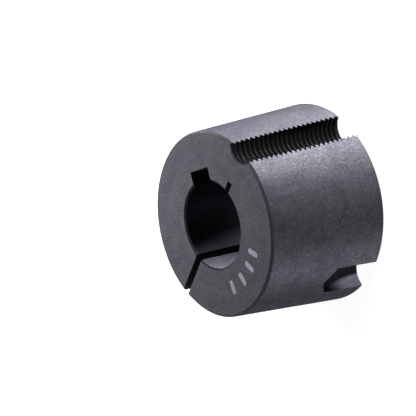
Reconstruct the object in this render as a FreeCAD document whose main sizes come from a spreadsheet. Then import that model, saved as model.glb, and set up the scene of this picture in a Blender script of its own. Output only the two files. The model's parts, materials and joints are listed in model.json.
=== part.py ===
"""Taper bush: a split clamping bush that a screwed hub squeezes onto a shaft.

One turned casting of grey iron. A cone of 4 degrees a side stands on its large end,
and its origin is the centre of that end, with +Z along the bore to the small end.
One saw cut on the -X side opens the ring, and a relief slot inside the bore, on the
+X side, lets the ring flex. Three half holes run along the cone, each the half of a
screw hole whose other half is in the hub: the threaded one on +X takes the screw that
drives the bush out, and the two blind smooth ones seat the screws that draw it in.
All lengths are millimetres and all angles degrees.
"""
import FreeCAD, Part
import Sketcher
import os

SIZES = (
    # The cone
    ("large_diameter", 35.2, "where the cone would meet the large end without its chamfer"),
    ("bush_length", 23.4, "from the large end to the small end"),
    ("taper_angle", 4.0, "of the cone to its axis, on each side"),
    ("large_rim_chamfer", 0.4, "round the large end"),
    ("small_rim_chamfer", 0.4, "round the small end"),
    # The bore
    ("bore_diameter", 15.0, "of the shaft that the bush clamps"),
    ("bore_chamfer", 0.3, "at both mouths of the bore"),
    ("key_width", 5.0, "of the keyway"),
    ("key_depth", 2.0, "of the keyway past the bore"),
    ("key_angle", 50.0, "from the threaded half hole round to the keyway"),
    # The cuts that let the ring close
    ("split_width", 1.35, "of the saw cut through the wall"),
    ("relief_width", 1.0, "of the relief slot inside the bore"),
    ("relief_depth", 2.1, "of the relief slot past the bore"),
    ("relief_offset", 0.4, "of the relief slot's middle from the plane of the split"),
    # The half holes
    ("screw_circle", 33.7, "diameter on which the half holes lie"),
    ("thread_diameter", 6.0, "over the roots of the thread"),
    ("thread_pitch", 1.0, "from one turn to the next"),
    ("thread_run_in", 1.15, "past each end of the bush, where the tap starts and leaves"),
    ("large_end_lead_in", 0.25, "depth of the thread's countersink in the large end"),
    ("small_end_lead_in", 0.6, "depth of the thread's countersink in the small end"),
    ("smooth_diameter", 6.3, "of the two smooth half holes"),
    ("smooth_depth", 8.7, "of a smooth half hole to its shoulder"),
    ("smooth_angle", 96.0, "of each smooth half hole from the threaded one"),
    ("drill_point_angle", 118.0, "of the drill that left the smooth holes' bottoms"),
    ("drill_web", 0.6, "across the flat that the drill's chisel edge left"),
)

# Shares of the pitch in a 60 degree metric thread
CREST_DEPTH = 0.5413
ROOT_FLAT = 0.125
CUTTER_OVERRUN = 0.06

# A sketch's own centre, as a line's number and its point's
CENTRE = (-1, 1)


def make_sheet(document):
    """Write every driving size into a spreadsheet, one row with its alias each."""
    sheet = document.addObject("Spreadsheet::Sheet", "Sizes")
    for row, (alias, value, meaning) in enumerate(SIZES, start=1):
        sheet.set("A%d" % row, alias)
        sheet.set("B%d" % row, str(value))
        sheet.set("C%d" % row, meaning)
        sheet.setAlias("B%d" % row, alias)
    document.recompute()
    return sheet


def origin_plane(body, role):
    """Return the body's own origin plane with this role."""
    for feature in body.Origin.OriginFeatures:
        if feature.Role == role:
            return feature
    raise ValueError("no origin feature " + role)


def new_sketch(body, name, role):
    """Add a sketch on one of the body's origin planes."""
    sketch = body.newObject("Sketcher::SketchObject", name)
    sketch.AttachmentSupport = [(origin_plane(body, role), "")]
    sketch.MapMode = "FlatFace"
    return sketch


def draw_polygon(sketch, corners):
    """Join rough corners into a closed loop, which the sketch's dimensions then bring to size."""
    points = [FreeCAD.Vector(x, y, 0) for x, y in corners]
    for start, end in zip(points, points[1:] + points[:1]):
        sketch.addGeometry(Part.LineSegment(start, end), False)
    count = len(points)
    for side in range(count):
        sketch.addConstraint(Sketcher.Constraint("Coincident", side, 2, (side + 1) % count, 1))


def bind(sketch, kind, first, second, name, expression):
    """Add a named dimension between two points and tie it to the spreadsheet."""
    apart = sketch.getPoint(*second) - sketch.getPoint(*first)
    rough = apart.x if kind == "DistanceX" else apart.y
    index = sketch.addConstraint(Sketcher.Constraint(kind, *first, *second, rough))
    sketch.renameConstraint(index, name)
    sketch.setExpression("Constraints." + name, expression)


def draw_blank(body):
    """Turn the wall's section, a trapezium with one sloped side, about the axis."""
    sketch = new_sketch(body, "WallSection", "XZ_Plane")
    draw_polygon(sketch, [(7.5, 0), (17.6, 0), (16, 23), (7.5, 23)])
    large_face, cone, small_face, bore = range(4)
    for face in (large_face, small_face):
        sketch.addConstraint(Sketcher.Constraint("Horizontal", face))
    sketch.addConstraint(Sketcher.Constraint("Vertical", bore))
    sketch.addConstraint(Sketcher.Constraint("PointOnObject", large_face, 1, -1))
    bind(sketch, "DistanceX", CENTRE, (large_face, 1), "bore_radius", "Sizes.bore_diameter / 2")
    bind(sketch, "DistanceX", CENTRE, (large_face, 2), "large_radius", "Sizes.large_diameter / 2")
    bind(sketch, "DistanceY", (large_face, 1), (small_face, 2), "length", "Sizes.bush_length")
    bind(sketch, "DistanceX", (small_face, 1), (large_face, 2),
         "cone_fall", "Sizes.bush_length * tan(Sizes.taper_angle * 1 deg)")
    blank = body.newObject("PartDesign::Revolution", "Blank")
    blank.Profile = sketch
    blank.ReferenceAxis = (sketch, ["V_Axis"])
    blank.Angle = 360
    body.Document.recompute()
    return blank


def circle_edges(shape, height, inner):
    """Name the bore's rim (inner) or the outer rim of the end face at this height."""
    rims = []
    for index, edge in enumerate(shape.Edges, start=1):
        if isinstance(edge.Curve, Part.Circle) and abs(edge.Curve.Center.z - height) < 1e-6:
            rims.append((edge.Curve.Radius, "Edge%d" % index))
    return min(rims)[1] if inner else max(rims)[1]


def break_edges(body, sheet, base):
    """Chamfer the two outer rims and both mouths of the bore."""
    ends = {"Large": 0.0, "Small": sheet.bush_length}
    cuts = (
        ("LargeRimChamfer", "Large", False, "large_rim_chamfer"),
        ("SmallRimChamfer", "Small", False, "small_rim_chamfer"),
        ("LargeMouthChamfer", "Large", True, "bore_chamfer"),
        ("SmallMouthChamfer", "Small", True, "bore_chamfer"),
    )
    for name, end, inner, alias in cuts:
        chamfer = body.newObject("PartDesign::Chamfer", name)
        chamfer.Base = (base, [circle_edges(base.Shape, ends[end], inner)])
        chamfer.setExpression("Size", "Sizes." + alias)
        body.Document.recompute()
        base = chamfer
    return base


def cut_through(body, name, sketch):
    """Pocket a sketch on the large end through the whole length of the bush."""
    pocket = body.newObject("PartDesign::Pocket", name)
    pocket.Profile = sketch
    pocket.Type = "ThroughAll"
    pocket.Reversed = True
    body.Document.recompute()
    return pocket


def cut_slot(body, name, inner, outer, width, angle="0 deg", offset="0"):
    """Cut a straight slot outwards from inner to outer, along a ray at this angle.

    An offset moves the slot sideways, clockwise as the small end is looked at.
    """
    sketch = new_sketch(body, name + "Sketch", "XY_Plane")
    sketch.setExpression("AttachmentOffset.Rotation.Angle", angle)
    sketch.setExpression("AttachmentOffset.Base.y", "-(%s)" % offset)
    draw_polygon(sketch, [(5, -1), (10, -1), (10, 1), (5, 1)])
    near_side, outer_end, far_side, inner_end = range(4)
    for side in (near_side, far_side):
        sketch.addConstraint(Sketcher.Constraint("Horizontal", side))
    sketch.addConstraint(Sketcher.Constraint("Vertical", outer_end))
    sketch.addConstraint(Sketcher.Constraint("Symmetric", inner_end, 1, inner_end, 2, -1))
    bind(sketch, "DistanceX", CENTRE, (inner_end, 1), "inner", inner)
    bind(sketch, "DistanceX", CENTRE, (outer_end, 1), "outer", outer)
    bind(sketch, "DistanceY", (outer_end, 1), (outer_end, 2), "width", width)
    return cut_through(body, name, sketch)


def sketch_on_screw_axis(body, name, angle):
    """Add an upright sketch whose vertical axis is the axis of the half hole at this angle."""
    sketch = new_sketch(body, name, "XZ_Plane")
    sketch.AttachmentOffset = FreeCAD.Placement(
        FreeCAD.Vector(), FreeCAD.Rotation(FreeCAD.Vector(0, 1, 0), 1))
    sketch.setExpression("AttachmentOffset.Rotation.Angle", angle)
    sketch.setExpression("AttachmentOffset.Base.x", "Sizes.screw_circle / 2 * cos(%s)" % angle)
    sketch.setExpression("AttachmentOffset.Base.z", "-Sizes.screw_circle / 2 * sin(%s)" % angle)
    return sketch


def drill_smooth_hole(body):
    """Drill one blind half hole up from the large end and mirror it to the other side."""
    sketch = sketch_on_screw_axis(body, "SmoothHoleSketch", "Sizes.smooth_angle * 1 deg")
    draw_polygon(sketch, [(0, 0), (3, 0), (3, 9), (0.3, 10.5), (0, 10.5)])
    mouth, wall, point, chisel_edge, axis = range(5)
    sketch.addConstraint(Sketcher.Constraint("Coincident", mouth, 1, -1, 1))
    for side in (mouth, chisel_edge):
        sketch.addConstraint(Sketcher.Constraint("Horizontal", side))
    for side in (wall, axis):
        sketch.addConstraint(Sketcher.Constraint("Vertical", side))
    bind(sketch, "DistanceX", (mouth, 1), (mouth, 2), "radius", "Sizes.smooth_diameter / 2")
    bind(sketch, "DistanceY", (wall, 1), (wall, 2), "depth", "Sizes.smooth_depth")
    bind(sketch, "DistanceX", (chisel_edge, 2), (chisel_edge, 1), "half_web", "Sizes.drill_web / 2")
    bind(sketch, "DistanceY", (point, 1), (point, 2), "point_height",
         "(Sizes.smooth_diameter - Sizes.drill_web) / 2"
         " / tan(Sizes.drill_point_angle / 2 * 1 deg)")
    hole = body.newObject("PartDesign::Groove", "SmoothHole")
    hole.Profile = sketch
    hole.ReferenceAxis = (sketch, ["V_Axis"])
    hole.Angle = 360
    body.Document.recompute()
    pair = body.newObject("PartDesign::Mirrored", "SmoothHolePair")
    pair.Originals = [hole]
    pair.MirrorPlane = (origin_plane(body, "XZ_Plane"), [""])
    body.Tip = pair
    body.Document.recompute()
    return pair


def drill_threaded_hole(body):
    """Drill the tapping hole right through, with a countersink at each end."""
    minor = "(Sizes.thread_diameter / 2 - Sizes.thread_pitch * %s)" % CREST_DEPTH
    sketch = sketch_on_screw_axis(body, "TappingHoleSketch", "0 deg")
    draw_polygon(sketch, [(0, 0), (3, 0), (2.4, 0.6), (2.4, 22.8), (3, 23.4), (0, 23.4)])
    mouth, lead_in, wall, far_lead_in, far_mouth, axis = range(6)
    sketch.addConstraint(Sketcher.Constraint("Coincident", mouth, 1, -1, 1))
    for side in (mouth, far_mouth):
        sketch.addConstraint(Sketcher.Constraint("Horizontal", side))
    for side in (wall, axis):
        sketch.addConstraint(Sketcher.Constraint("Vertical", side))
    bind(sketch, "DistanceY", (axis, 2), (axis, 1), "length", "Sizes.bush_length")
    bind(sketch, "DistanceX", CENTRE, (wall, 1), "minor_radius", minor)
    ends = ((mouth, 2, lead_in, "large_end_lead_in"), (far_mouth, 1, far_lead_in, "small_end_lead_in"))
    for face, corner, side, alias in ends:
        bind(sketch, "DistanceX", CENTRE, (face, corner), alias + "_radius", minor + " + Sizes." + alias)
        bind(sketch, "DistanceY", (side, 1), (side, 2), alias, "Sizes." + alias)
    hole = body.newObject("PartDesign::Groove", "TappingHole")
    hole.Profile = sketch
    hole.ReferenceAxis = (sketch, ["V_Axis"])
    hole.Angle = 360
    body.Document.recompute()
    return hole


def cut_thread(body):
    """Cut a real 60 degree groove, one turn to each pitch, along the tapping hole."""
    depth = "Sizes.thread_pitch * %s" % (CREST_DEPTH + CUTTER_OVERRUN)
    root_flat = "Sizes.thread_pitch * %s" % ROOT_FLAT
    sketch = sketch_on_screw_axis(body, "ThreadGrooveSketch", "0 deg")
    draw_polygon(sketch, [(2.4, -1.4), (3, -1.06), (3, -0.94), (2.4, -0.6)])
    lower, bottom, upper, inner = range(4)
    sketch.addConstraint(Sketcher.Constraint("Vertical", bottom))
    sketch.addConstraint(Sketcher.Constraint("Vertical", inner))
    bind(sketch, "DistanceX", CENTRE, (bottom, 1), "root_radius", "Sizes.thread_diameter / 2")
    bind(sketch, "DistanceX", (lower, 1), (lower, 2), "depth", depth)
    bind(sketch, "DistanceY", (bottom, 1), (bottom, 2), "root_flat", root_flat)
    for side, name in ((lower, "lower_flank"), (upper, "upper_flank")):
        bind(sketch, "DistanceY", (side, 1), (side, 2), name, depth + " * tan(30 deg)")
    bind(sketch, "DistanceY", (bottom, 1), CENTRE, "start_below", "Sizes.thread_run_in")
    groove = body.newObject("PartDesign::SubtractiveHelix", "Thread")
    groove.Profile = sketch
    groove.ReferenceAxis = (sketch, ["V_Axis"])
    groove.Mode = "pitch-height-angle"
    groove.setExpression("Pitch", "Sizes.thread_pitch")
    groove.setExpression("Height", "Sizes.bush_length + 2 * Sizes.thread_run_in")
    body.Document.recompute()
    return groove


def make_bush(document, sheet):
    """Turn the blank, then drill, tap, broach and saw it in the order of the workshop."""
    body = document.addObject("PartDesign::Body", "Bush")
    body.Label = "taper_bush"
    break_edges(body, sheet, draw_blank(body))
    drill_threaded_hole(body)
    cut_thread(body)
    drill_smooth_hole(body)
    bore_radius = "Sizes.bore_diameter / 2"
    inside = "Sizes.bore_diameter / 4"
    cut_slot(body, "Keyway", inside, bore_radius + " + Sizes.key_depth",
             "Sizes.key_width", "Sizes.key_angle * 1 deg")
    cut_slot(body, "ReliefSlot", inside, bore_radius + " + Sizes.relief_depth",
             "Sizes.relief_width", offset="Sizes.relief_offset")
    cut_slot(body, "Split", inside, "Sizes.large_diameter", "Sizes.split_width", "180 deg")
    return body


def check_document(document):
    """Stop on any object that failed to build."""
    for item in document.Objects:
        if "Invalid" in item.State or "Error" in item.State:
            raise RuntimeError("%s did not build: %s" % (item.Name, item.State))


def export_solid(body):
    """Write the finished solid as a STEP file named after its label."""
    shape = body.Shape
    if shape.isNull() or not shape.isValid() or len(shape.Solids) != 1:
        raise RuntimeError(body.Label + " is not one valid solid")
    shape.exportStep(os.path.join("parts", body.Label + ".step"))
    print("%s: %.1f mm3, %d faces" % (body.Label, shape.Volume, len(shape.Faces)))


def main():
    """Build the document and write its one piece."""
    os.makedirs("parts", exist_ok=True)
    document = FreeCAD.newDocument("TaperBush")
    sheet = make_sheet(document)
    body = make_bush(document, sheet)
    document.recompute()
    check_document(document)
    export_solid(body)


main()
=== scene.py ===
"""The looks of a split taper bush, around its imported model.

The bush is one closed surface worked out with numpy: a loop round its section, carried
up from the large end to the small end. Lengths are millimetres and angles radians until
a mesh is made, and the finished meshes are in metres.
"""
import json
import math
import bpy
import numpy as np
from mathutils import Matrix, Vector


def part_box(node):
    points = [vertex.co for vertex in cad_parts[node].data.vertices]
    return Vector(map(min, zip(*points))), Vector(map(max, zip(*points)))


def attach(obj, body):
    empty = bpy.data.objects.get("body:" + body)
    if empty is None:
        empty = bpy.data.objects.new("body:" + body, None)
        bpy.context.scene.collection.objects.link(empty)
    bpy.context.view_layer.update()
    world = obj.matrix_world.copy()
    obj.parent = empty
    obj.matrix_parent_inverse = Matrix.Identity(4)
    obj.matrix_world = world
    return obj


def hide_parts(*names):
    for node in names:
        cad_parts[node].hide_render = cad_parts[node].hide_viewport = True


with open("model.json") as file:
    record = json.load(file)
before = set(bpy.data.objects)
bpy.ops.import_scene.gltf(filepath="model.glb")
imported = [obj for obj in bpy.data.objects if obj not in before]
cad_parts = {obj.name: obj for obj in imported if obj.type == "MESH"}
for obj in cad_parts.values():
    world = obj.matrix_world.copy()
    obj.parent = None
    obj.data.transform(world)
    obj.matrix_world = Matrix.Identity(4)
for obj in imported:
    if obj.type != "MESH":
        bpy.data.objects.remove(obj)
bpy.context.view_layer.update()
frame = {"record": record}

MM = 0.001
TURN = 2 * math.pi

# What the frame says of the bush: its height, its bore and where its half holes lie
low_corner, high_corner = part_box("taper_bush")
mounts = {mount["name"]: mount for mount in frame["record"]["mounts"]}
LENGTH = (high_corner[2] - low_corner[2]) / MM
BORE_RADIUS = mounts["shaft_bore"]["dims"]["r_mm"]
SCREW_RADIUS = mounts["removal_thread"]["pos_m"][0] / MM
smooth_x, smooth_y, _ = mounts["seating_screw_plus_y"]["pos_m"]
SMOOTH_ANGLE = math.atan2(smooth_y, smooth_x)

# The cone and its broken edges
LARGE_RADIUS = 17.6
TAPER = math.tan(math.radians(4))
RIM_CHAMFER = 0.4
BORE_CHAMFER = 0.3

# The cuts through the wall and inside the bore
SPLIT_WIDTH = 1.35
KEY_WIDTH = 5.0
KEY_FLOOR = BORE_RADIUS + 2.0
KEY_ANGLE = math.radians(50)
RELIEF_WIDTH = 1.0
RELIEF_FLOOR = BORE_RADIUS + 2.1
RELIEF_OFFSET = -0.4

# The half holes
PITCH = 1.0
THREAD_ROOT = 3.0
THREAD_CREST = THREAD_ROOT - 0.5413 * PITCH
FLANK_SLOPE = math.tan(math.radians(60 / 2))
HALF_ROOT_FLAT = PITCH / 16
THREAD_START = -1.15 + HALF_ROOT_FLAT
LARGE_END_LEAD_IN = 0.25
SMALL_END_LEAD_IN = 0.6
SMOOTH_RADIUS = 3.15
SMOOTH_DEPTH = 8.7
DRILL_SLOPE = math.tan(math.radians(118 / 2))
DRILL_WEB = 0.3
SMOOTH_TIP = SMOOTH_DEPTH + (SMOOTH_RADIUS - DRILL_WEB) / DRILL_SLOPE

# How softly the edges are broken
CORNER = 0.1
THREAD_CORNER = 0.04
CORNER_FADE = 0.8
END_ROUND = 0.05
BLEND = 0.05

# The rows begin to climb with the thread this far inside the ends, and keep its pitch so much later
CLIMB_START = 0.7
CLIMB_RISE = 1.2
# Height over which the columns above a blind half hole spread out again
COLUMN_SPREAD = 6.0


def smooth_min(a, b, width=BLEND):
    """The lower of a and b, with the corner between them rounded over this width."""
    share = np.clip(0.5 + 0.5 * (b - a) / width, 0, 1)
    return b + (a - b) * share - width * share * (1 - share)


def smooth_max(a, b, width=BLEND):
    """The higher of a and b, with the corner between them rounded over this width."""
    return -smooth_min(-a, -b, width)


def smooth_step(x):
    """0 below 0, 1 above 1, and 3x^2 - 2x^3 between."""
    x = np.clip(x, 0, 1)
    return x * x * (3 - 2 * x)


def from_ends(z):
    """Distance from height z to the nearer end of the bush."""
    return np.minimum(z, LENGTH - z)


def outer_radius(z):
    """The cone's radius at height z: it falls by the taper, and by 45 degrees in the end chamfers."""
    cone = LARGE_RADIUS - TAPER * z
    at_large_end = LARGE_RADIUS - TAPER * RIM_CHAMFER - (RIM_CHAMFER - z)
    at_small_end = LARGE_RADIUS - TAPER * (LENGTH - RIM_CHAMFER) - (RIM_CHAMFER - (LENGTH - z))
    return smooth_min(cone, smooth_min(at_large_end, at_small_end))


def bore_radius(z):
    """The bore's radius at height z: constant, and opened by 45 degrees in the mouth chamfers."""
    return smooth_max(BORE_RADIUS + 0 * z, BORE_RADIUS + BORE_CHAMFER - from_ends(z))


def thread_radius(phi, z):
    """Radius of the tapped wall about the screw's axis, at angle phi and height z.

    The groove's middle climbs one pitch in each turn. Off the middle the wall stays at the
    root for a sixteenth of a pitch, then falls along a 60 degree flank to the crest, and
    a 45 degree countersink opens it at both ends.
    """
    turns = (z - THREAD_START) / PITCH - phi / TURN
    off_middle = np.abs(turns - np.round(turns)) * PITCH
    flank = THREAD_ROOT - (off_middle - HALF_ROOT_FLAT) / FLANK_SLOPE
    wall = smooth_max(smooth_min(flank, THREAD_ROOT + 0 * flank), THREAD_CREST + 0 * flank)
    countersink = np.maximum(LARGE_END_LEAD_IN - z, SMALL_END_LEAD_IN - (LENGTH - z))
    return smooth_max(wall, THREAD_CREST + countersink)


def smooth_radius(z):
    """Radius of a blind half hole at height z: straight to its shoulder, then the drill's point."""
    return np.clip(SMOOTH_RADIUS - (z - SMOOTH_DEPTH) * DRILL_SLOPE, DRILL_WEB, SMOOTH_RADIUS)


def section_heights():
    """Heights of the rows, from 0 to the bush's length.

    Rows fall on the thread's root, flanks and crest in every pitch. More are added where
    the ends are rounded and chamfered and where the drilled holes end.
    """
    shares_of_pitch = np.array([0.0625, 0.21, 0.34, 0.41, 0.59, 0.66, 0.79, 0.9375])
    pitches = np.arange(-1, math.ceil(LENGTH / PITCH) + 2)
    thread_rows = (THREAD_START + PITCH * (0.5 + pitches[:, None] + shares_of_pitch)).ravel()
    rounding = END_ROUND * (1 - np.cos(np.linspace(0, math.pi / 2, 5)))
    chamfers = [0.12, 0.2, 0.26, 0.3, 0.34, 0.38, 0.42, 0.48, 0.55, 0.6, 0.65]
    near_end = np.concatenate([rounding, chamfers])
    clear = near_end[-1] + 0.04
    middle = thread_rows[(thread_rows > clear) & (thread_rows < LENGTH - clear)]
    drill_rows = [SMOOTH_DEPTH, SMOOTH_TIP, SMOOTH_TIP + 0.01]
    return np.unique(np.concatenate([near_end, middle, drill_rows, LENGTH - near_end]))


ROWS = section_heights()[:, None]
# Between the ends each row climbs with the thread, so that it stays on one crest or flank
CLIMB = PITCH / TURN * smooth_step((from_ends(ROWS) - CLIMB_START) / CLIMB_RISE)


def threaded_point(phi):
    """The tapped wall's point on each row at angle phi about the screw's axis."""
    z = ROWS + CLIMB * (phi - math.pi)
    wall = thread_radius(phi, z)
    return np.stack([SCREW_RADIUS + wall * np.cos(phi), wall * np.sin(phi), z], axis=-1)


def thread_edge(side):
    """Angle about the screw's axis where the tapped wall meets the cone, found by halving.

    The search runs from the wall's middle, which is inside the cone, to a point outside
    it, on the +Y side of the middle for a side of 1 and on the -Y side for -1.
    """
    inside = np.full_like(ROWS, math.pi)
    outside = inside - side * math.radians(150)
    for _ in range(40):
        phi = (inside + outside) / 2
        x, y, z = np.moveaxis(threaded_point(phi), -1, 0)
        within = np.hypot(x, y) < outer_radius(z)
        inside = np.where(within, phi, inside)
        outside = np.where(within, outside, phi)
    return inside


def thread_run(first, last):
    """The tapped wall: t from 0 to 1 carries the angle from its first edge to its last."""
    return lambda t: threaded_point(first + (last - first) * t)


def ring_run(radius, start, end, climb_start=0.0, climb_end=0.0):
    """A stretch of the cone or the bore, from one angle about the bush's axis to another.

    The heights are lifted by a climb at either end, which dies away along the stretch.
    """
    def run(t):
        angle = start + (end - start) * t
        z = ROWS + climb_start * smooth_step(1 - t) + climb_end * smooth_step(t)
        r = radius(z)
        return np.stack([r * np.cos(angle), r * np.sin(angle), z + 0 * angle], axis=-1)
    return run


def smooth_hole_spread():
    """Half the angle about the bush's axis that a blind half hole takes out of the cone.

    Up to the drill's tip it follows from the triangle of the two centres and the hole's
    edge. Above the tip it only spaces the columns, and opens out again up the cone.
    """
    radius, hole = outer_radius(ROWS), smooth_radius(ROWS)
    cosine = (SCREW_RADIUS**2 + radius**2 - hole**2) / (2 * SCREW_RADIUS * radius)
    drilled = np.arccos(np.clip(cosine, -1, 1))
    narrow, wide = DRILL_WEB / SCREW_RADIUS, SMOOTH_RADIUS / SCREW_RADIUS
    above = narrow + (wide - narrow) * smooth_step((ROWS - SMOOTH_TIP) / COLUMN_SPREAD)
    return np.where(ROWS <= SMOOTH_TIP, drilled, above)


def smooth_hole_run(middle, spread):
    """A blind half hole round the angle middle, and the plain cone above its tip."""
    radius, hole = outer_radius(ROWS), smooth_radius(ROWS)
    edge = np.arctan2(radius * np.sin(spread), radius * np.cos(spread) - SCREW_RADIUS)
    drilled = ROWS <= SMOOTH_TIP
    centre_x, centre_y = SCREW_RADIUS * math.cos(middle), SCREW_RADIUS * math.sin(middle)

    def run(t):
        phi = middle - edge - t * (TURN - 2 * edge)
        angle = middle - spread + 2 * spread * t
        x = np.where(drilled, centre_x + hole * np.cos(phi), radius * np.cos(angle))
        y = np.where(drilled, centre_y + hole * np.sin(phi), radius * np.sin(angle))
        return np.stack([x, y, ROWS + 0 * t], axis=-1)
    return run


def flat_run(angle, start, end):
    """A flat wall between two (along, across) places, measured on a ray at this angle."""
    cosine, sine = math.cos(angle), math.sin(angle)

    def run(t):
        along = start[0] + (end[0] - start[0]) * t
        across = start[1] + (end[1] - start[1]) * t
        x, y = along * cosine - across * sine, along * sine + across * cosine
        return np.stack(np.broadcast_arrays(x, y, ROWS + 0 * t), axis=-1)
    return run


def bush_runs():
    """The section's runs in order: (finish, run, samples), anticlockwise round the cone
    from the split and then clockwise through the bore, back to the split."""
    outer, bore = outer_radius(ROWS), bore_radius(ROWS)
    half_split = SPLIT_WIDTH / 2
    split_outer = math.pi - np.arcsin(half_split / outer)
    split_bore = math.pi - np.arcsin(half_split / bore)
    split_reach = np.sqrt(outer**2 - half_split**2)
    split_mouth = np.sqrt(bore**2 - half_split**2)

    spread = smooth_hole_spread()
    first, last = thread_edge(-1), thread_edge(1)
    begin, finish = threaded_point(first), threaded_point(last)
    begin_angle = np.arctan2(begin[..., 1], begin[..., 0])
    finish_angle = np.arctan2(finish[..., 1], finish[..., 0])
    begin_climb, finish_climb = begin[..., 2] - ROWS, finish[..., 2] - ROWS

    half_key = KEY_WIDTH / 2
    key_half_angle = np.arcsin(half_key / bore)
    key_mouth = np.sqrt(bore**2 - half_key**2)
    relief_high, relief_low = RELIEF_OFFSET + RELIEF_WIDTH / 2, RELIEF_OFFSET - RELIEF_WIDTH / 2
    high_mouth = np.sqrt(bore**2 - relief_high**2)
    low_mouth = np.sqrt(bore**2 - relief_low**2)
    return [
        ("cone", ring_run(outer_radius, -split_outer, -SMOOTH_ANGLE - spread), 24),
        ("drilled", smooth_hole_run(-SMOOTH_ANGLE, spread), 20),
        ("cone", ring_run(outer_radius, -SMOOTH_ANGLE + spread, begin_angle, 0.0, begin_climb), 28),
        ("thread", thread_run(first, last), 26),
        ("cone", ring_run(outer_radius, finish_angle, SMOOTH_ANGLE - spread, finish_climb), 28),
        ("drilled", smooth_hole_run(SMOOTH_ANGLE, spread), 20),
        ("cone", ring_run(outer_radius, SMOOTH_ANGLE + spread, split_outer), 24),
        ("sawn", flat_run(math.pi, (split_reach, -half_split), (split_mouth, -half_split)), 5),
        ("bore", ring_run(bore_radius, split_bore, KEY_ANGLE + key_half_angle), 24),
        ("broached", flat_run(KEY_ANGLE, (key_mouth, half_key), (KEY_FLOOR, half_key)), 4),
        ("broached", flat_run(KEY_ANGLE, (KEY_FLOOR, half_key), (KEY_FLOOR, -half_key)), 5),
        ("broached", flat_run(KEY_ANGLE, (KEY_FLOOR, -half_key), (key_mouth, -half_key)), 4),
        ("bore", ring_run(bore_radius, KEY_ANGLE - key_half_angle, np.arcsin(relief_high / bore)), 9),
        ("broached", flat_run(0, (high_mouth, relief_high), (RELIEF_FLOOR, relief_high)), 4),
        ("broached", flat_run(0, (RELIEF_FLOOR, relief_high), (RELIEF_FLOOR, relief_low)), 3),
        ("broached", flat_run(0, (RELIEF_FLOOR, relief_low), (low_mouth, relief_low)), 4),
        ("bore", ring_run(bore_radius, np.arcsin(relief_low / bore), -split_bore), 40),
        ("sawn", flat_run(math.pi, (split_mouth, half_split), (split_reach, half_split)), 5),
    ]


def corner_size(finish, other):
    """How far a corner's rounding reaches along its two runs: less on the thread's fine crests."""
    if "thread" in (finish, other):
        return CORNER + (THREAD_CORNER - CORNER) * smooth_step(from_ends(ROWS) / CORNER_FADE)
    return CORNER + 0 * ROWS


def pace(run, t, nudge=1e-4):
    """Distance that a run covers for each unit of t, beside its start or its end."""
    step = nudge if t == 0 else -nudge
    return np.linalg.norm(run(t + step) - run(t + 0.0), axis=-1) / nudge


def section_loop(runs):
    """Join the runs into one closed loop on every row, and name the finish of each column.

    A corner between two runs is the curve (1-s)^2 A + 2s(1-s) B + s^2 C, from a point A
    just before it, pulled towards the corner B itself, to a point C just past it.
    """
    columns, finishes, convex = [], [], []
    s = np.array([0.25, 0.5, 0.75])[:, None]
    for number, (finish, run, samples) in enumerate(runs):
        before = runs[number - 1][0]
        next_finish, next_run, _ = runs[(number + 1) % len(runs)]
        enter = corner_size(before, finish) / pace(run, 0)
        leave = 1 - corner_size(finish, next_finish) / pace(run, 1)
        columns.append(run(enter + (leave - enter) * np.linspace(0, 1, samples)))
        start, turn = run(leave), run(1.0 + 0 * leave)
        end = next_run(corner_size(finish, next_finish) / pace(next_run, 0))
        columns.append((1 - s)**2 * start + 2 * s * (1 - s) * turn + s**2 * end)
        finishes += [finish] * (samples + 3)
        arriving, leaving = (turn - start)[:, 0], (end - turn)[:, 0]
        left_turn = arriving[:, 0] * leaving[:, 1] - arriving[:, 1] * leaving[:, 0]
        convex += [0] * samples + [0, 1 if left_turn.mean() > 0 else 0, 0]
    return np.concatenate(columns, axis=1), finishes, np.array(convex, dtype=bool)


def edge_distance(points, convex, drilled):
    """Distance of each point from the nearest outward corner on its row, or from the nearer end.

    A drilled hole's two corners count only below the drill's tip.
    """
    steps = np.linalg.norm(np.roll(points, -1, axis=1) - points, axis=-1)
    along = np.cumsum(steps, axis=1) - steps
    whole = steps.sum(axis=1)[:, None, None]
    gap = np.abs(along[:, :, None] - along[:, None, convex])
    gap = np.minimum(gap, whole - gap)
    gap[:, :, drilled[convex]] += np.where(ROWS > SMOOTH_TIP, whole[..., 0], 0)[:, :, None]
    return np.minimum(gap.min(axis=-1), from_ends(points[..., 2]))


def round_ends(points):
    """Draw the loop inwards near both ends, so that a quarter circle joins wall and end face."""
    ahead = np.roll(points, -1, axis=1) - np.roll(points, 1, axis=1)
    outwards = np.stack([ahead[..., 1], -ahead[..., 0]], axis=-1)
    outwards /= np.linalg.norm(outwards, axis=-1, keepdims=True)
    short = np.clip(1 - from_ends(points[..., 2]) / END_ROUND, 0, 1)
    drawn = END_ROUND * (1 - np.sqrt(1 - short**2))
    rounded = points.copy()
    rounded[..., :2] -= outwards * drawn[..., None]
    return rounded


def loop_normals(points):
    """Outward normals of a grid closed along its rows: the step along a row crossed with the step up."""
    along = np.roll(points, -1, axis=1) - np.roll(points, 1, axis=1)
    up = np.gradient(points, axis=0)
    normals = np.cross(along, up)
    normals /= np.linalg.norm(normals, axis=-1, keepdims=True)
    normals[0], normals[-1] = (0, 0, -1), (0, 0, 1)
    return normals


def grid_quads(rows, columns):
    """Corners of every quad of a grid that is closed along its rows."""
    lower = np.arange((rows - 1) * columns).reshape(rows - 1, columns)
    right = np.roll(lower, -1, axis=1)
    return np.stack([lower, right, right + columns, lower + columns], axis=-1).reshape(-1, 4)


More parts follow.
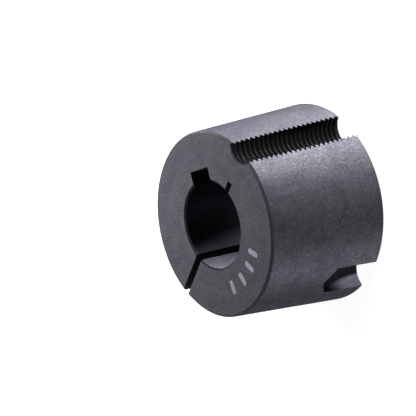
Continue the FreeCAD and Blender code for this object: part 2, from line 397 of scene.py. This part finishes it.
def make_piece(name, points, quads, caps, normals=None):
    """Make one mesh piece, in metres, out of points, quads and closing faces, and show it."""
    mesh = bpy.data.meshes.new(name)
    mesh.from_pydata((points.reshape(-1, 3) * MM).tolist(), [], quads.tolist() + caps)
    mesh.polygons.foreach_set("use_smooth", np.ones(len(mesh.polygons), dtype=bool))
    if normals is not None:
        mesh.normals_split_custom_set_from_vertices(normals.reshape(-1, 3).tolist())
    piece = bpy.data.objects.new(name, mesh)
    bpy.context.scene.collection.objects.link(piece)
    return piece


def make_bush(finishes_wanted):
    """The bush: its section's loop on every row, with a flat face closing each end."""
    loop, finishes, convex = section_loop(bush_runs())
    rows, columns = loop.shape[:2]
    points = round_ends(loop)
    small_end = (rows - 1) * columns
    caps = [list(range(columns))[::-1], list(range(small_end, small_end + columns))]
    bush = make_piece("bush_surface", points, grid_quads(rows, columns), caps, loop_normals(points))
    mesh = bush.data
    for material in finishes_wanted.values():
        mesh.materials.append(material)
    order = {finish: index for index, finish in enumerate(finishes_wanted)}
    slots = np.tile([order[finish] for finish in finishes], (rows - 1, 1))
    slots[(slots == order["drilled"]) & (ROWS[:-1] > SMOOTH_TIP)] = order["cone"]
    # The chamfers take the darker chamfered finish: painted shade along the broken edges
    for finish, chamfer in (("cone", RIM_CHAMFER), ("bore", BORE_CHAMFER), ("thread", LARGE_END_LEAD_IN)):
        slots[(slots == order[finish]) & (from_ends(ROWS[:-1]) < chamfer)] = order["chamfered"]
    mesh.polygons.foreach_set("material_index", np.append(slots.ravel(), [order["faced"]] * 2))
    # The corner before a hole's first column is its own too, two columns back from it
    in_hole = np.array(finishes) == "drilled"
    drilled = in_hole | np.roll(in_hole, -2)
    distance = mesh.attributes.new("edge_distance", "FLOAT", "POINT")
    distance.data.foreach_set("value", edge_distance(loop, convex, drilled).ravel())
    return bush


# The four printed ticks on the small face
TICK_RADIUS = 11.2
TICK_ANGLES = (-74, -88, -104, -121)
TICK_LENGTH = 2.4
TICK_WIDTH = 0.95
TICK_HEIGHT = 0.012


def make_ticks(material):
    """Four thin bars of paint. Each is a superellipse carried outwards from its middle.

    A point of its outline is (sign(cos a) |cos a|^(1/2), sign(sin a) |sin a|^(1/2)) times its half
    length and half width. The rings keep the height of the paint, fall at the rim, and close below.
    """
    a = np.linspace(0, TURN, 48, endpoint=False)
    outline = np.stack([np.sign(np.cos(a)) * np.sqrt(np.abs(np.cos(a))) * TICK_LENGTH / 2,
                        np.sign(np.sin(a)) * np.sqrt(np.abs(np.sin(a))) * TICK_WIDTH / 2], axis=-1)
    reach = np.array([0.02, 0.5, 0.9, 0.96, 1.0, 1.0, 0.02])
    height = np.array([1.0, 1.0, 1.0, 0.9, 0.3, -1.0, -1.0]) * TICK_HEIGHT
    angles = np.radians(TICK_ANGLES)[:, None, None]
    along = TICK_RADIUS + reach[None, :, None] * outline[None, None, :, 0]
    across = reach[None, :, None] * outline[None, None, :, 1]
    x = along * np.cos(angles) - across * np.sin(angles)
    y = along * np.sin(angles) + across * np.cos(angles)
    z = LENGTH + np.broadcast_to(height[None, :, None], x.shape)
    points = np.stack([x, y, z], axis=-1)[:, ::-1]
    ticks, rings, columns = points.shape[:3]
    quads, caps = [], []
    for tick in range(ticks):
        first = tick * rings * columns
        quads.append(grid_quads(rings, columns) + first)
        last_ring = first + (rings - 1) * columns
        caps += [list(range(first, first + columns))[::-1], list(range(last_ring, last_ring + columns))]
    piece = make_piece("paint_ticks", points, np.concatenate(quads), caps)
    piece.data.materials.append(material)
    return piece


def start_group(name, inputs, outputs):
    """An empty node group with these sockets, as (name, kind, value) in and (name, kind) out."""
    group = bpy.data.node_groups.new(name, "ShaderNodeTree")
    for socket_name, kind, value in inputs:
        socket = group.interface.new_socket(socket_name, in_out="INPUT", socket_type="NodeSocket" + kind)
        if value is not None:
            socket.default_value = value
    for socket_name, kind in outputs:
        group.interface.new_socket(socket_name, in_out="OUTPUT", socket_type="NodeSocket" + kind)
    return group, group.nodes.new("NodeGroupInput"), group.nodes.new("NodeGroupOutput")


def fill_socket(tree, target, value):
    """Link another node's output to a socket, or set a plain value on it."""
    if isinstance(value, bpy.types.NodeSocket):
        tree.links.new(value, target)
    else:
        target.default_value = value


def add_node(tree, kind, links=None, **settings):
    """Add a node, set its properties, and link or set its inputs by name or number."""
    node = tree.nodes.new("ShaderNode" + kind)
    for key, value in settings.items():
        setattr(node, key, value)
    for key, value in (links or {}).items():
        fill_socket(tree, node.inputs[key], value)
    return node


def noise(tree, vector, scale, detail=2.0, roughness=0.5):
    """A noise texture's value, about 0.5 on average."""
    return add_node(tree, "TexNoise", {
        "Vector": vector, "Scale": scale, "Detail": detail, "Roughness": roughness}).outputs["Fac"]


def maths(tree, operation, first, second=0.0):
    """One step of arithmetic."""
    return add_node(tree, "Math", {0: first, 1: second}, operation=operation).outputs[0]


def ramp(tree, value, low, high, to_low=0.0, to_high=1.0):
    """Carry a value from the range low..high to the range to_low..to_high, and stop at its ends."""
    return add_node(tree, "MapRange", {
        "Value": value, "From Min": low, "From Max": high,
        "To Min": to_low, "To Max": to_high}).outputs["Result"]


def build_grain_and_glints():
    """The phosphate's grain: fine pits, and painted glints, bright dots in the colour where a crystal
    faces out.
    """
    group, given, result = start_group("phosphate_grain_and_glints", [
        ("Millimetres", "Vector", None), ("Grain Size", "Float", 0.3), ("Glint Share", "Float", 0.0),
    ], [("Height", "Float"), ("Tone", "Float"), ("Painted Glints", "Float")])
    fineness = maths(group, "DIVIDE", 1.0, given.outputs["Grain Size"])
    fine = noise(group, given.outputs["Millimetres"], fineness, 2.0, 0.6)
    coarse = noise(group, given.outputs["Millimetres"], maths(group, "MULTIPLY", fineness, 0.3), 2.0)
    coarse_share = maths(group, "MULTIPLY", coarse, 0.2)
    height = maths(group, "ADD", maths(group, "MULTIPLY", fine, 0.8), coarse_share)
    glint_noise = noise(group, given.outputs["Millimetres"], maths(group, "MULTIPLY", fineness, 1.3), 0.0)
    # Only the noise's peaks are painted glints, and a greater share reaches further down their sides
    reach_down = maths(group, "MULTIPLY", given.outputs["Glint Share"], 0.16)
    above = maths(group, "SUBTRACT", glint_noise, maths(group, "SUBTRACT", 0.84, reach_down))
    group.links.new(height, result.inputs["Height"])
    group.links.new(ramp(group, height, 0.36, 0.64), result.inputs["Tone"])
    group.links.new(ramp(group, above, 0.0, 0.08), result.inputs["Painted Glints"])
    return group


def build_tool_marks():
    """Turning marks: fine lines across the feed, uneven in depth and dying out in places."""
    group, given, result = start_group("tool_marks", [
        ("Feed Millimetres", "Float", 0.0), ("Millimetres", "Vector", None),
        ("Feed Per Turn", "Float", 0.12),
    ], [("Height", "Float"), ("Tone", "Float")])
    feed = add_node(group, "CombineXYZ", {"X": given.outputs["Feed Millimetres"]}).outputs[0]
    lines = noise(group, feed, maths(group, "DIVIDE", 1.0, given.outputs["Feed Per Turn"]), 1.0)
    bands = noise(group, feed, maths(group, "DIVIDE", 0.12, given.outputs["Feed Per Turn"]), 2.0)
    patches = ramp(group, noise(group, given.outputs["Millimetres"], 0.35, 2.0), 0.3, 0.7, 0.35, 1.0)
    tone = maths(group, "MULTIPLY", ramp(group, bands, 0.3, 0.7), patches)
    group.links.new(maths(group, "MULTIPLY", lines, patches), result.inputs["Height"])
    group.links.new(tone, result.inputs["Tone"])
    return group


def build_mottling():
    """Clouds of lighter and darker phosphate, some millimetres across, with finer ones inside."""
    group, given, result = start_group("mottling", [
        ("Millimetres", "Vector", None), ("Cloud Size", "Float", 4.0),
    ], [("Clouds", "Float"), ("Stains", "Float")])
    scale = maths(group, "DIVIDE", 1.0, given.outputs["Cloud Size"])
    clouds = noise(group, given.outputs["Millimetres"], scale, 4.0, 0.55)
    stains = noise(group, given.outputs["Millimetres"], maths(group, "MULTIPLY", scale, 2.7), 5.0, 0.65)
    group.links.new(ramp(group, clouds, 0.3, 0.7), result.inputs["Clouds"])
    group.links.new(ramp(group, stains, 0.45, 0.75), result.inputs["Stains"])
    return group


def build_edge_wear():
    """Wear along outward edges: full on the edge, gone within the width, and broken up by noise."""
    group, given, result = start_group("edge_wear", [
        ("Edge Distance", "Float", 1.0), ("Millimetres", "Vector", None), ("Width", "Float", 0.15),
    ], [("Wear", "Float")])
    ragged = ramp(group, noise(group, given.outputs["Millimetres"], 2.5, 3.0), 0.3, 0.7, 0.3, 1.0)
    width = maths(group, "MULTIPLY", given.outputs["Width"], ragged)
    away = maths(group, "DIVIDE", given.outputs["Edge Distance"], width)
    nearness = ramp(group, away, 0.0, 1.0, 1.0, 0.0)
    group.links.new(maths(group, "MULTIPLY", nearness, ragged), result.inputs["Wear"])
    return group


def build_painted_light():
    """A place of painted light: full near a point, and fading out with the distance from it.

    Weights stretch the distance along each axis, and a weight of 0 leaves that axis out.
    """
    group, given, result = start_group("painted_light_place", [
        ("Millimetres", "Vector", None), ("Centre", "Vector", (0, 0, 0)),
        ("Weights", "Vector", (1, 1, 1)), ("Full Within", "Float", 1.0), ("Gone Beyond", "Float", 5.0),
    ], [("Painted Light", "Float")])
    away = add_node(group, "VectorMath", {
        0: given.outputs["Millimetres"], 1: given.outputs["Centre"]}, operation="SUBTRACT").outputs[0]
    weighted = add_node(group, "VectorMath", {
        0: away, 1: given.outputs["Weights"]}, operation="MULTIPLY").outputs[0]
    distance = add_node(group, "VectorMath", {0: weighted}, operation="LENGTH").outputs["Value"]
    fade = add_node(group, "MapRange", {
        "Value": distance, "From Min": given.outputs["Full Within"],
        "From Max": given.outputs["Gone Beyond"], "To Min": 1.0, "To Max": 0.0},
        interpolation_type="SMOOTHSTEP").outputs["Result"]
    group.links.new(fade, result.inputs["Painted Light"])
    return group


GROUPS = {"grain": build_grain_and_glints(), "marks": build_tool_marks(), "mottling": build_mottling(),
          "wear": build_edge_wear(), "painted_light": build_painted_light()}


def place_group(tree, name, links):
    """Place one of the shared groups in a material, with this material's own values."""
    return add_node(tree, "Group", links, node_tree=GROUPS[name]).outputs


def blend_colour(tree, share, low, high):
    """A colour between low and high."""
    mix = add_node(tree, "Mix", {"Factor": share}, data_type="RGBA")
    for socket, value in (("A", low), ("B", high)):
        fill_socket(tree, next(s for s in mix.inputs if s.name == socket and s.type == "RGBA"), value)
    return next(s for s in mix.outputs if s.type == "RGBA")


def start_material(name):
    """A new material: itself, its node tree and its shader."""
    material = bpy.data.materials.new(name)
    material.use_nodes = True
    tree = material.node_tree
    return material, tree, next(node for node in tree.nodes if node.type == "BSDF_PRINCIPLED")


def object_millimetres(tree):
    """The place on the piece, in millimetres."""
    place = add_node(tree, "TexCoord").outputs["Object"]
    return add_node(tree, "VectorMath", {0: place, "Scale": 1 / MM}, operation="SCALE").outputs[0]


# Tints of the phosphate: its even blue, where a cloud is darker, where one is lighter, and its sheen
EVEN = (0.98, 0.96, 1.19)
COOL = (0.965, 0.94, 1.23)
WARM = (1.0, 0.975, 1.12)
SHEEN = (1.0, 0.98, 1.12)


def grey(level, tint=EVEN):
    """A grey with one of the phosphate's faint blue tints."""
    return (level * tint[0], level * tint[1], level * tint[2], 1.0)


# Shared by every finish of the iron: two sizes in millimetres, how many times brighter than the
# finish a painted glint is, and the grey of a worn edge
CLOUD_SIZE = 3.0
WEAR_WIDTH = 0.14
GLINT_BRIGHTNESS = 7
WORN_GREY = 0.3


def iron(name, level, roughness, shine=0.5, edge_shine=0.55, metal=0.0, streak=0.0, lit_place=None,
         lit_level=0.1, grain=0.3, grain_depth=0.02, feed="height", feed_turn=0.15, feed_depth=0.002,
         glints=0.0, wear=0.1, contrast=0.15):
    """One finish of the phosphated iron.

    level is its mean grey, shine its specular level, edge_shine the tint on its reflections (1
    leaves them as they are), and metal how much of the metal itself gleams through the coating.
    streak draws its highlights out along the axis, as fine turned rings do. lit_place gives the
    centre, weights and two distances of a place of painted light, whose grey goes towards the
    lit_level, and glints how many painted glints it shows, bright dots in its colour, most of them
    in that place. grain and feed_turn are the sizes of its pits and turning marks and the depths
    are theirs, all in millimetres. feed names what the marks run across: the height on the cone
    and in the holes, or the distance from the axis on an end face. wear is how far its outward
    edges are worn bright, and contrast how far each kind of mottling lightens or darkens it.
    """
    material, tree, shader = start_material(name)
    millimetres = object_millimetres(tree)
    axes = add_node(tree, "SeparateXYZ", {0: millimetres}).outputs
    if feed == "height":
        fed = axes["Z"]
    else:
        flat = add_node(tree, "VectorMath", {
            0: millimetres, 1: (1, 1, 0)}, operation="MULTIPLY").outputs[0]
        fed = add_node(tree, "VectorMath", {0: flat}, operation="LENGTH").outputs["Value"]
    share = 0.0
    # A place of painted light: the grey goes towards lit_level there, and the painted glints gather there
    if lit_place:
        centre, weights, full, gone = lit_place
        lit_share = place_group(tree, "painted_light", {
            "Millimetres": millimetres, "Centre": centre, "Weights": weights, "Full Within": full,
            "Gone Beyond": gone})["Painted Light"]
        share = maths(tree, "MULTIPLY", maths(tree, "MAXIMUM", lit_share, 0.1), glints)
    grains = place_group(tree, "grain", {
        "Millimetres": millimetres, "Grain Size": grain, "Glint Share": share})
    marks = place_group(tree, "marks", {
        "Feed Millimetres": fed, "Millimetres": millimetres, "Feed Per Turn": feed_turn})
    clouds = place_group(tree, "mottling", {"Millimetres": millimetres, "Cloud Size": CLOUD_SIZE})

    # Clouds shade it both ways, stains and pits darken it, and the grain's tops and the marks lighten it
    dark, light = grey(1 - contrast, COOL), grey(1 + contrast, WARM)
    tone = blend_colour(tree, clouds["Clouds"], dark, light)
    stained = maths(tree, "MULTIPLY", clouds["Stains"], contrast)
    tone = blend_colour(tree, stained, tone, grey(0.4, COOL))
    pitted = maths(tree, "MULTIPLY", maths(tree, "SUBTRACT", 1.0, grains["Tone"]), 2.2 * contrast)
    tone = blend_colour(tree, pitted, tone, grey(0.1))
    lit = maths(tree, "MULTIPLY", maths(tree, "ADD", grains["Tone"], marks["Tone"]), 0.8 * contrast)
    tone = blend_colour(tree, lit, tone, grey(2.2))
    # Painted light: the grey rises from level to lit_level inside the lit place
    depth = ramp(tree, lit_share, 0.0, 1.0, level, lit_level) if lit_place else level
    colour = add_node(tree, "VectorMath", {0: tone, "Scale": depth}, operation="SCALE").outputs[0]
    # Painted glints: bright dots of colour, gathered in the place of painted light
    if glints:
        glinting = maths(tree, "MULTIPLY", grains["Painted Glints"], 0.6)
        colour = blend_colour(tree, glinting, colour, grey(level * GLINT_BRIGHTNESS))
    rough = ramp(tree, grains["Tone"], 0.0, 1.0, roughness + 0.05, roughness - 0.05)
    if wear:
        distance = add_node(tree, "Attribute", attribute_name="edge_distance").outputs["Fac"]
        worn = place_group(tree, "wear", {
            "Edge Distance": distance, "Millimetres": millimetres, "Width": WEAR_WIDTH})["Wear"]
        worn = maths(tree, "MULTIPLY", worn, wear)
        colour = blend_colour(tree, worn, colour, grey(WORN_GREY))
        rough = maths(tree, "SUBTRACT", rough, maths(tree, "MULTIPLY", worn, 0.12))
    tree.links.new(colour, shader.inputs["Base Color"])
    tree.links.new(rough, shader.inputs["Roughness"])
    shader.inputs["Specular IOR Level"].default_value = shine
    shader.inputs["Metallic"].default_value = metal
    shader.inputs["Specular Tint"].default_value = grey(edge_shine, SHEEN)
    if streak:
        shader.inputs["Anisotropic"].default_value = streak
        shader.inputs["Anisotropic Rotation"].default_value = 0.25
        around = add_node(tree, "Tangent", direction_type="RADIAL", axis="Z").outputs[0]
        tree.links.new(around, shader.inputs["Tangent"])

    pits = add_node(tree, "Bump", {
        "Height": grains["Height"], "Distance": grain_depth * MM, "Strength": 1.0}).outputs["Normal"]
    lines = add_node(tree, "Bump", {
        "Height": marks["Height"], "Distance": feed_depth * MM, "Strength": 1.0,
        "Normal": pits}).outputs["Normal"]
    tree.links.new(lines, shader.inputs["Normal"])
    return material


def paint(name, level):
    """Pale printed paint, thin enough for the grain of the face to show in its tone."""
    material, tree, shader = start_material(name)
    grains = place_group(tree, "grain", {
        "Millimetres": object_millimetres(tree), "Grain Size": 0.15, "Glint Share": 0.0})
    colour = blend_colour(tree, grains["Tone"], grey(level * 0.75), grey(level * 1.2))
    tree.links.new(colour, shader.inputs["Base Color"])
    bump = add_node(tree, "Bump", {"Height": grains["Height"], "Distance": 0.003 * MM}).outputs["Normal"]
    tree.links.new(bump, shader.inputs["Normal"])
    shader.inputs["Roughness"].default_value = 0.6
    return material


# Painted shade: the finishes of the hollows and chamfers (thread, bore, drilled, chamfered, sawn,
# broached) are set far darker than the cone, for the shade that falls in them
finishes = {
    # Painted highlight: the cone's grey rises to lit_level round the threaded half hole, most towards the
    # large end, and the painted glints gather there
    "cone": iron("turned_cone", 0.05, 0.7, 0.1, edge_shine=0.3, metal=0.8, streak=0.8,
                 lit_place=((16.7, -1.5, 0), (1, 1, 0.3), 2, 15.8), lit_level=0.127,
                 grain_depth=0.05, glints=0.65, feed_depth=0.004, wear=0.15, contrast=0.16),
    # Painted light: the small end face is lighter round (-9, 9) and darker away from it
    "faced": iron("faced_end", 0.068, 0.6, 0.25, lit_place=((-9, 9, 0), (1, 1, 0), 3, 20),
                  lit_level=0.083, grain=0.35, grain_depth=0.01, feed="radius", feed_turn=0.25,
                  wear=0, contrast=0.19),
    # The thread's near-black grey is partly its own darker cut surface and partly painted shade in its
    # grooves
    "thread": iron("cut_thread", 0.004, 0.28, 0.1, grain_depth=0.003, feed_depth=0.0, wear=0.1),
    # Painted light: a bright patch on the bore's wall round (-7, -5, 9); the rest of the bore is
    # near-black painted shade
    "bore": iron("bored_wall", 0.02, 0.3, 0.1, metal=0.35, lit_place=((-7, -5, 9), (0.9, 1, 0.35), 5, 9.5),
                 lit_level=0.55, grain_depth=0.003, wear=0),
    # Painted light on the -Y half hole's wall near the large end; elsewhere the half holes stay
    # near-black, painted shade
    "drilled": iron("drilled_wall", 0.008, 0.4, 0.08, metal=0.5,
                    lit_place=((-4.9, -16, 0), (3, 0.07, 0.4), 1.6, 3.1), lit_level=0.3,
                    grain_depth=0.006, feed_turn=0.3, feed_depth=0.008, wear=0),
    "chamfered": iron("chamfered_edge", 0.022, 0.6, 0.12, grain_depth=0.003, wear=0),
    "sawn": iron("sawn_wall", 0.008, 0.6, 0.05, grain_depth=0.008, feed_turn=0.3, feed_depth=0.01,
                 wear=0),
    "broached": iron("broached_wall", 0.012, 0.5, 0.1, grain_depth=0.004, feed_depth=0.0, wear=0),
}

bush = make_bush(finishes)
ticks = make_ticks(paint("pale_paint", 0.3))
for piece in (bush, ticks):
    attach(piece, "root")
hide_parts("taper_bush")


WHITE = (1, 1, 1, 1)
FLOOR_HALF_WIDTH = 2.0
FLOOR_GREY = (0.6, 0.6, 0.6, 1)
FLOOR_GLOW = 0.92
WORLD_LIGHT = 0.05


def seen_directly(tree):
    """1 where the camera, a reflection or clear glass looks, and 0 for light that falls on things."""
    ray = add_node(tree, "LightPath").outputs
    camera_or_gloss = maths(tree, "MAXIMUM", ray["Is Camera Ray"], ray["Is Glossy Ray"])
    return maths(tree, "MAXIMUM", camera_or_gloss, ray["Is Transmission Ray"])


def make_floor():
    """A plain pale floor: white where it is seen or mirrored, and shaded by the bush in the lamplight."""
    reach = FLOOR_HALF_WIDTH
    corners = [(-reach, -reach, 0), (reach, -reach, 0), (reach, reach, 0), (-reach, reach, 0)]
    mesh = bpy.data.meshes.new("floor")
    mesh.from_pydata(corners, [], [(0, 1, 2, 3)])
    floor = bpy.data.objects.new("floor", mesh)
    bpy.context.scene.collection.objects.link(floor)
    material, tree, shader = start_material("white_floor")
    shader.inputs["Base Color"].default_value = FLOOR_GREY
    shader.inputs["Roughness"].default_value = 0.9
    shader.inputs["Specular IOR Level"].default_value = 0.0
    shader.inputs["Emission Color"].default_value = WHITE
    glow = maths(tree, "MULTIPLY", seen_directly(tree), FLOOR_GLOW)
    tree.links.new(glow, shader.inputs["Emission Strength"])
    mesh.materials.append(material)


def make_world():
    """White where the camera or a reflection looks past the floor, and dim as a light."""
    world = bpy.data.worlds.new("studio")
    bpy.context.scene.world = world
    world.use_nodes = True
    tree = world.node_tree
    background = next(node for node in tree.nodes if node.type == "BACKGROUND")
    background.inputs["Color"].default_value = WHITE
    strength = ramp(tree, seen_directly(tree), 0.0, 1.0, WORLD_LIGHT, 1.0)
    tree.links.new(strength, background.inputs["Strength"])


def direction(azimuth, elevation):
    """A unit vector from the azimuth, in degrees from +X towards +Y, and the elevation above level."""
    a, e = math.radians(azimuth), math.radians(elevation)
    return Vector((math.cos(a) * math.cos(e), math.sin(a) * math.cos(e), math.sin(e)))


def softbox(name, azimuth, elevation, distance, width, height, power, colour=(1, 1, 1)):
    """A soft lamp aimed at the bush's middle, with its distance and size in metres."""
    towards = direction(azimuth, elevation)
    lamp = bpy.data.lights.new(name, "AREA")
    lamp.shape = "RECTANGLE"
    lamp.size, lamp.size_y, lamp.energy, lamp.color = width, height, power, colour
    holder = bpy.data.objects.new(name, lamp)
    bpy.context.scene.collection.objects.link(holder)
    holder.location = towards * distance + Vector((0, 0, LENGTH / 2 * MM))
    holder.rotation_mode = "QUATERNION"
    holder.rotation_quaternion = towards.to_track_quat("Z", "Y")


make_floor()
make_world()
# Three lamps are level with the bush and about as tall, so that hardly any of their light enters the bore
LAMP_HEIGHT = 0.024
softbox("key", azimuth=22, elevation=0, distance=0.18, width=0.17, height=LAMP_HEIGHT, power=1.1,
        colour=(0.97, 1.0, 0.95))
softbox("low_side", azimuth=80, elevation=0, distance=0.11, width=0.07, height=LAMP_HEIGHT, power=0.1)
softbox("high_side", azimuth=84, elevation=50, distance=0.1, width=0.06, height=0.05, power=0.115)
softbox("fill", azimuth=-110, elevation=0, distance=0.4, width=0.12, height=LAMP_HEIGHT, power=1.6)

# The camera, in millimetres and degrees: what it looks at, from where, and how far it is rolled
CAMERA_AIM = (-9.972, 13.03, 11.7)
CAMERA_AZIMUTH = -42.414
CAMERA_ELEVATION = 36.047
CAMERA_DISTANCE = 299.593
CAMERA_ROLL = -101.93
CAMERA_LENS = 143.57


def make_camera():
    """The photograph's camera. It lies on its side, as the bush does in the photograph."""
    towards = direction(CAMERA_AZIMUTH, CAMERA_ELEVATION)
    data = bpy.data.cameras.new("camera")
    data.lens, data.sensor_width = CAMERA_LENS, 36.0
    data.clip_start, data.clip_end = 0.01, 10.0
    camera = bpy.data.objects.new("camera", data)
    bpy.context.scene.collection.objects.link(camera)
    place = (Vector(CAMERA_AIM) + towards * CAMERA_DISTANCE) * MM
    upright = towards.to_track_quat("Z", "Y").to_matrix().to_4x4()
    rolled = Matrix.Rotation(math.radians(CAMERA_ROLL), 4, "Z")
    camera.matrix_world = Matrix.Translation(place) @ upright @ rolled
    bpy.context.scene.camera = camera


make_camera()
bpy.context.scene.view_settings.view_transform = "Standard"
